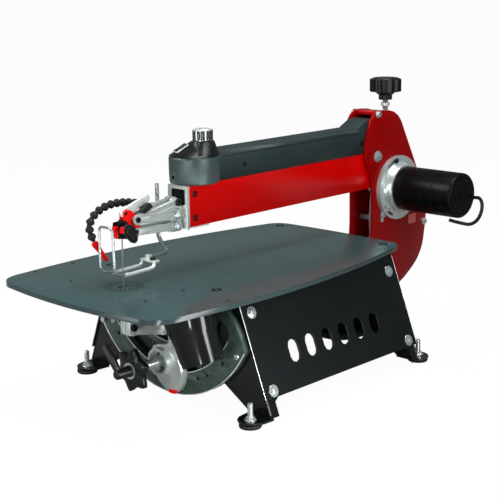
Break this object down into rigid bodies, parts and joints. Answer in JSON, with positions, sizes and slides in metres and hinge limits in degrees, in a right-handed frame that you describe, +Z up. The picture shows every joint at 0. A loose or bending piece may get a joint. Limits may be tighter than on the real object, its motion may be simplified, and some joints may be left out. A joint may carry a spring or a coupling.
{
  "type": "scroll_saw",
  "caption": "Parallel-link scroll saw with a tilting red head, grey oval table on a black sheet-metal stand, side motor, blade clamps, hold-down and air nozzle.",
  "frame": {"origin": "centre of the overall box in plan, on the bench under the rubber feet", "axes": "+Y runs from the blade back along the arm, +X is the motor side, +Z is up"},
  "size_m": [0.3972, 0.7933, 0.4322],
  "materials": {
    "slate": "satin gloss slate grey",
    "black_steel": "gloss black",
    "red_paint": "gloss red",
    "dark_red": "gloss dark red",
    "cast_silver": "satin cast",
    "steel": "brushed",
    "black_plastic": "fine texture",
    "rubber": "matt",
    "cover_grey": "grained dark grey",
    "red_plastic": "gloss red"
  },
  "bodies": {
    "base": {"table": "slate", "front_frame": "black_steel", "rear_frame": "black_steel", "side_panel_right": "black_steel", "side_panel_left": "black_steel", "panel_bolt_right_1": "steel", "panel_bolt_right_2": "steel", "panel_bolt_right_3": "steel", "panel_bolt_right_4": "steel", "panel_bolt_left_1": "steel", "panel_bolt_left_2": "steel", "panel_bolt_left_3": "steel", "panel_bolt_left_4": "steel", "foot_front_left": "rubber", "foot_front_right": "rubber", "foot_rear_left": "rubber", "foot_rear_right": "rubber", "front_trunnion": "cast_silver", "rear_trunnion": "cast_silver", "dust_port": "black_plastic"},
    "head": {"housing_plate_right": "red_paint", "housing_plate_left": "red_paint", "housing_spine": "dark_red", "lower_arm": "black_steel", "front_carrier": "cast_silver", "motor_flange": "cast_silver", "motor_body": "black_steel", "motor_cable": "rubber", "arm_pivot_bolt": "steel"},
    "tilt_knob": {"tilt_pinion": "steel", "tilt_knob": "black_plastic"},
    "lock_lever": {"tilt_lock_lever": "black_plastic"},
    "motor_shaft": {"eccentric_shaft": "steel"},
    "rear_rocker": {"rear_rocker": "steel"},
    "connecting_rod": {"connecting_rod": "cast_silver"},
    "height_knob": {"height_knob": "black_plastic"},
    "arm": {"upper_arm": "red_paint", "arm_cover": "cover_grey", "arm_front_casting": "cast_silver", "control_head": "cover_grey", "control_cap": "black_plastic", "air_hose": "rubber", "air_nozzle": "red_plastic"},
    "speed_knob": {"speed_knob": "black_plastic"},
    "power_switch": {"power_switch": "black_plastic"},
    "upper_rocker": {"upper_rocker": "cast_silver"},
    "upper_link": {"upper_link": "cast_silver"},
    "upper_holder": {"upper_blade_holder": "red_plastic", "blade": "steel"},
    "tension_lever": {"tension_lever": "cast_silver"},
    "upper_clamp": {"upper_clamp_knob": "black_plastic"},
    "upper_rod": {"upper_push_rod": "steel"},
    "lower_rocker": {"lower_rocker": "cast_silver"},
    "lower_link": {"lower_link": "cast_silver"},
    "lower_holder": {"lower_blade_holder": "cast_silver"},
    "lower_clamp": {"lower_clamp_knob": "steel"},
    "lower_rod": {"lower_push_rod": "steel"},
    "hold_down": {"hold_down_rod": "steel"},
    "hold_foot": {"hold_down_foot": "cast_silver"}
  },
  "joints": [
    {"name": "head_tilt", "type": "hinge", "parent": "base", "child": "head", "pos_m": [0, -0.28965, 0.183], "axis": [0, 1, 0], "range_deg": [-30, 45]},
    {"name": "tilt_knob_turn", "type": "hinge", "parent": "head", "child": "tilt_knob", "pos_m": [0, -0.28965, 0.057], "axis": [0, 1, 0], "range_deg": [-240, 360]},
    {"name": "lock_lever_turn", "type": "hinge", "parent": "head", "child": "lock_lever", "pos_m": [0, -0.29765, 0.057], "axis": [0, 1, 0], "range_deg": [-20, 40]},
    {"name": "arm_raise", "type": "hinge", "parent": "head", "child": "arm", "pos_m": [0, 0.25335, 0.305], "axis": [-1, 0, 0], "range_deg": [-0.4, 3]},
    {"name": "height_knob_turn", "type": "hinge", "parent": "head", "child": "height_knob", "pos_m": [0, 0.30635, 0.383], "axis": [0, 0, 1], "range_deg": [-90, 668]},
    {"name": "blade_stroke", "type": "hinge", "parent": "arm", "child": "upper_rocker", "pos_m": [0, -0.19165, 0.2724], "axis": [1, 0, 0], "range_deg": [-7.2, 7.2]},
    {"name": "upper_link_swing", "type": "hinge", "parent": "arm", "child": "upper_link", "pos_m": [0, -0.19365, 0.2554], "axis": [1, 0, 0], "range_deg": [-7.3, 7.3]},
    {"name": "upper_holder_level", "type": "hinge", "parent": "upper_rocker", "child": "upper_holder", "pos_m": [0, -0.26965, 0.276], "axis": [1, 0, 0], "range_deg": [-7.3, 7.3]},
    {"name": "upper_rod_slide", "type": "slide", "parent": "arm", "child": "upper_rod", "axis": [0, 1, 0], "range_m": [-0.0024, 0.0024]},
    {"name": "lower_rocker_swing", "type": "hinge", "parent": "head", "child": "lower_rocker", "pos_m": [0, -0.19165, 0.1156], "axis": [1, 0, 0], "range_deg": [-7.3, 7.3]},
    {"name": "lower_link_swing", "type": "hinge", "parent": "head", "child": "lower_link", "pos_m": [0, -0.19365, 0.1326], "axis": [1, 0, 0], "range_deg": [-7.3, 7.3]},
    {"name": "lower_holder_level", "type": "hinge", "parent": "lower_rocker", "child": "lower_holder", "pos_m": [0, -0.26965, 0.1156], "axis": [1, 0, 0], "range_deg": [-7.3, 7.3]},
    {"name": "lower_rod_slide", "type": "slide", "parent": "head", "child": "lower_rod", "axis": [0, 1, 0], "range_m": [-0.0024, 0.0024]},
    {"name": "rear_rocker_swing", "type": "hinge", "parent": "head", "child": "rear_rocker", "pos_m": [0, 0.27035, 0.194], "axis": [1, 0, 0], "range_deg": [-1.5, 1.5]},
    {"name": "con_rod_level", "type": "hinge", "parent": "rear_rocker", "child": "connecting_rod", "pos_m": [0, 0.27035, 0.246], "axis": [1, 0, 0], "range_deg": [-1.5, 1.5]},
    {"name": "motor_spin", "type": "hinge", "parent": "head", "child": "motor_shaft", "pos_m": [0, 0.30635, 0.246], "axis": [1, 0, 0], "continuous": true},
    {"name": "tension_lever_swing", "type": "hinge", "parent": "upper_holder", "child": "tension_lever", "pos_m": [0, -0.28565, 0.287], "axis": [1, 0, 0], "range_deg": [0, 100]},
    {"name": "upper_clamp_turn", "type": "hinge", "parent": "upper_holder", "child": "upper_clamp", "pos_m": [0, -0.28765, 0.26], "axis": [1, 0, 0], "range_deg": [-150, 10]},
    {"name": "lower_clamp_turn", "type": "hinge", "parent": "lower_holder", "child": "lower_clamp", "pos_m": [0, -0.28415, 0.123], "axis": [1, 0, 0], "range_deg": [-180, 180]},
    {"name": "speed_knob_turn", "type": "hinge", "parent": "arm", "child": "speed_knob", "pos_m": [0, -0.12965, 0.371], "axis": [0, 0, 1], "range_deg": [0, 270]},
    {"name": "power_switch_rock", "type": "hinge", "parent": "arm", "child": "power_switch", "pos_m": [-0.00986, -0.16306, 0.36021], "axis": [0.9272, -0.3746, 0], "range_deg": [-7, 7]},
    {"name": "hold_down_slide", "type": "slide", "parent": "arm", "child": "hold_down", "axis": [0, 0, 1], "range_m": [-0.004, 0.014]},
    {"name": "hold_foot_pitch", "type": "hinge", "parent": "hold_down", "child": "hold_foot", "pos_m": [-0.004, -0.23765, 0.214], "axis": [-1, 0, 0], "range_deg": [0, 8]}
  ],
  "couplings": [
    {"joint": "tilt_knob_turn", "follows": "head_tilt", "ratio": 8},
    {"joint": "height_knob_turn", "follows": "arm_raise", "ratio": 222},
    {"joint": "upper_link_swing", "follows": "blade_stroke", "ratio": 1},
    {"joint": "upper_holder_level", "follows": "blade_stroke", "ratio": -1},
    {"joint": "upper_rod_slide", "follows": "blade_stroke", "m_per_rad": -0.0176},
    {"joint": "lower_rocker_swing", "follows": "blade_stroke", "ratio": 1},
    {"joint": "lower_link_swing", "follows": "blade_stroke", "ratio": 1},
    {"joint": "lower_holder_level", "follows": "blade_stroke", "ratio": -1},
    {"joint": "lower_rod_slide", "follows": "blade_stroke", "m_per_rad": 0.0176},
    {"joint": "rear_rocker_swing", "follows": "blade_stroke", "ratio": 0.18333},
    {"joint": "con_rod_level", "follows": "blade_stroke", "ratio": -0.18333}
  ]
}
